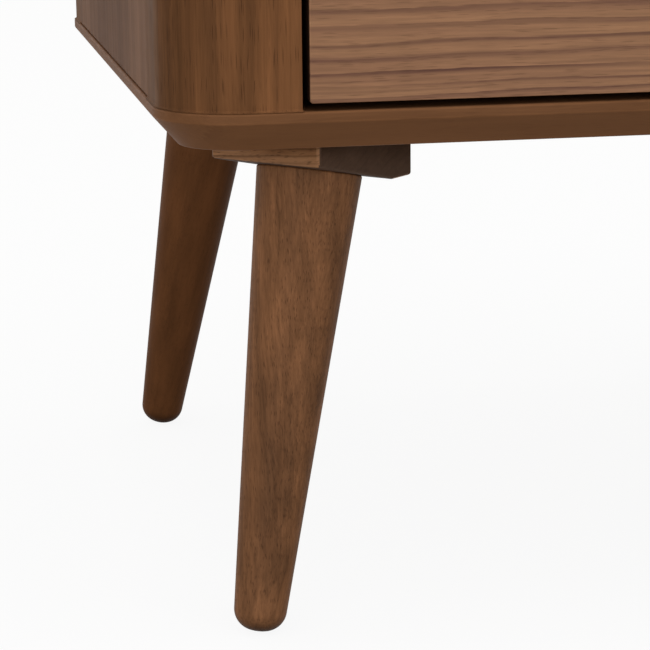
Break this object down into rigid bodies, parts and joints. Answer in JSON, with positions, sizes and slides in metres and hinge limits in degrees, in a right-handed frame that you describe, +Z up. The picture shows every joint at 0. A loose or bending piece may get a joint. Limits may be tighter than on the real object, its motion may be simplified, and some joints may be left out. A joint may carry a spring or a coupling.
{
  "type": "nightstand",
  "caption": "Nightstand in walnut veneer with rounded corners, drawers on telescopic slides, turned knobs and splayed tapered legs.",
  "frame": {"origin": "centre of the bounding box on the floor, under the middle of the case", "axes": "+Z up, front with the drawers and knobs towards -Y, +X to the right seen from the front"},
  "size_m": [0.5, 0.433, 0.56],
  "materials": {
    "walnut_veneer": "satin lacquered walnut veneer",
    "solid_walnut": "satin lacquered solid walnut",
    "inner_softwood": "planed",
    "box_hardwood": "clear lacquered",
    "box_plywood": "sanded plywood",
    "slide_steel": "zinc plated sheet",
    "screw_steel": "zinc plated",
    "brass_insert": "turned brass"
  },
  "bodies": {
    "case": {"back_left_leg": "solid_walnut", "back_left_leg_block": "solid_walnut", "back_left_post": "walnut_veneer", "back_panel": "walnut_veneer", "back_panel_screws": "screw_steel", "back_right_leg": "solid_walnut", "back_right_leg_block": "solid_walnut", "back_right_post": "walnut_veneer", "base_plate": "walnut_veneer", "case_member_screws": "screw_steel", "front_left_leg": "solid_walnut", "front_left_leg_block": "solid_walnut", "front_left_post": "walnut_veneer", "front_right_leg": "solid_walnut", "front_right_leg_block": "solid_walnut", "front_right_post": "walnut_veneer", "left_side_panel": "walnut_veneer", "leg_block_screws": "screw_steel", "leg_bolts": "screw_steel", "leg_inserts": "brass_insert", "lower_left_batten": "inner_softwood", "lower_left_slide_case_member": "slide_steel", "lower_right_batten": "inner_softwood", "lower_right_slide_case_member": "slide_steel", "mid_rail": "inner_softwood", "post_dowels": "inner_softwood", "right_side_panel": "walnut_veneer", "top_plate": "walnut_veneer", "upper_left_batten": "inner_softwood", "upper_left_slide_case_member": "slide_steel", "upper_right_batten": "inner_softwood", "upper_right_slide_case_member": "slide_steel"},
    "lower_drawer": {"lower_box_back": "box_hardwood", "lower_box_bottom": "box_plywood", "lower_box_left_side": "box_hardwood", "lower_box_member_screws": "screw_steel", "lower_box_right_side": "box_hardwood", "lower_drawer_front": "walnut_veneer", "lower_front_screws": "screw_steel", "lower_inner_front": "box_hardwood", "lower_knob": "solid_walnut", "lower_knob_screw": "screw_steel", "lower_left_slide_box_member": "slide_steel", "lower_right_slide_box_member": "slide_steel"},
    "upper_drawer": {"upper_box_back": "box_hardwood", "upper_box_bottom": "box_plywood", "upper_box_left_side": "box_hardwood", "upper_box_member_screws": "screw_steel", "upper_box_right_side": "box_hardwood", "upper_drawer_front": "walnut_veneer", "upper_front_screws": "screw_steel", "upper_inner_front": "box_hardwood", "upper_knob": "solid_walnut", "upper_knob_screw": "screw_steel", "upper_left_slide_box_member": "slide_steel", "upper_right_slide_box_member": "slide_steel"},
    "lower_slide_middle": {"lower_left_slide_middle_member": "slide_steel", "lower_right_slide_middle_member": "slide_steel"},
    "upper_slide_middle": {"upper_left_slide_middle_member": "slide_steel", "upper_right_slide_middle_member": "slide_steel"}
  },
  "joints": [
    {"name": "lower_drawer_slide", "type": "slide", "parent": "case", "child": "lower_drawer", "axis": [0, -1, 0], "range_m": [0, 0.33]},
    {"name": "lower_middle_slide", "type": "slide", "parent": "case", "child": "lower_slide_middle", "axis": [0, -1, 0], "range_m": [0, 0.165]},
    {"name": "upper_drawer_slide", "type": "slide", "parent": "case", "child": "upper_drawer", "axis": [0, -1, 0], "range_m": [0, 0.33]},
    {"name": "upper_middle_slide", "type": "slide", "parent": "case", "child": "upper_slide_middle", "axis": [0, -1, 0], "range_m": [0, 0.165]}
  ],
  "couplings": [
    {"joint": "lower_middle_slide", "follows": "lower_drawer_slide", "ratio": 0.5},
    {"joint": "upper_middle_slide", "follows": "upper_drawer_slide", "ratio": 0.5}
  ]
}
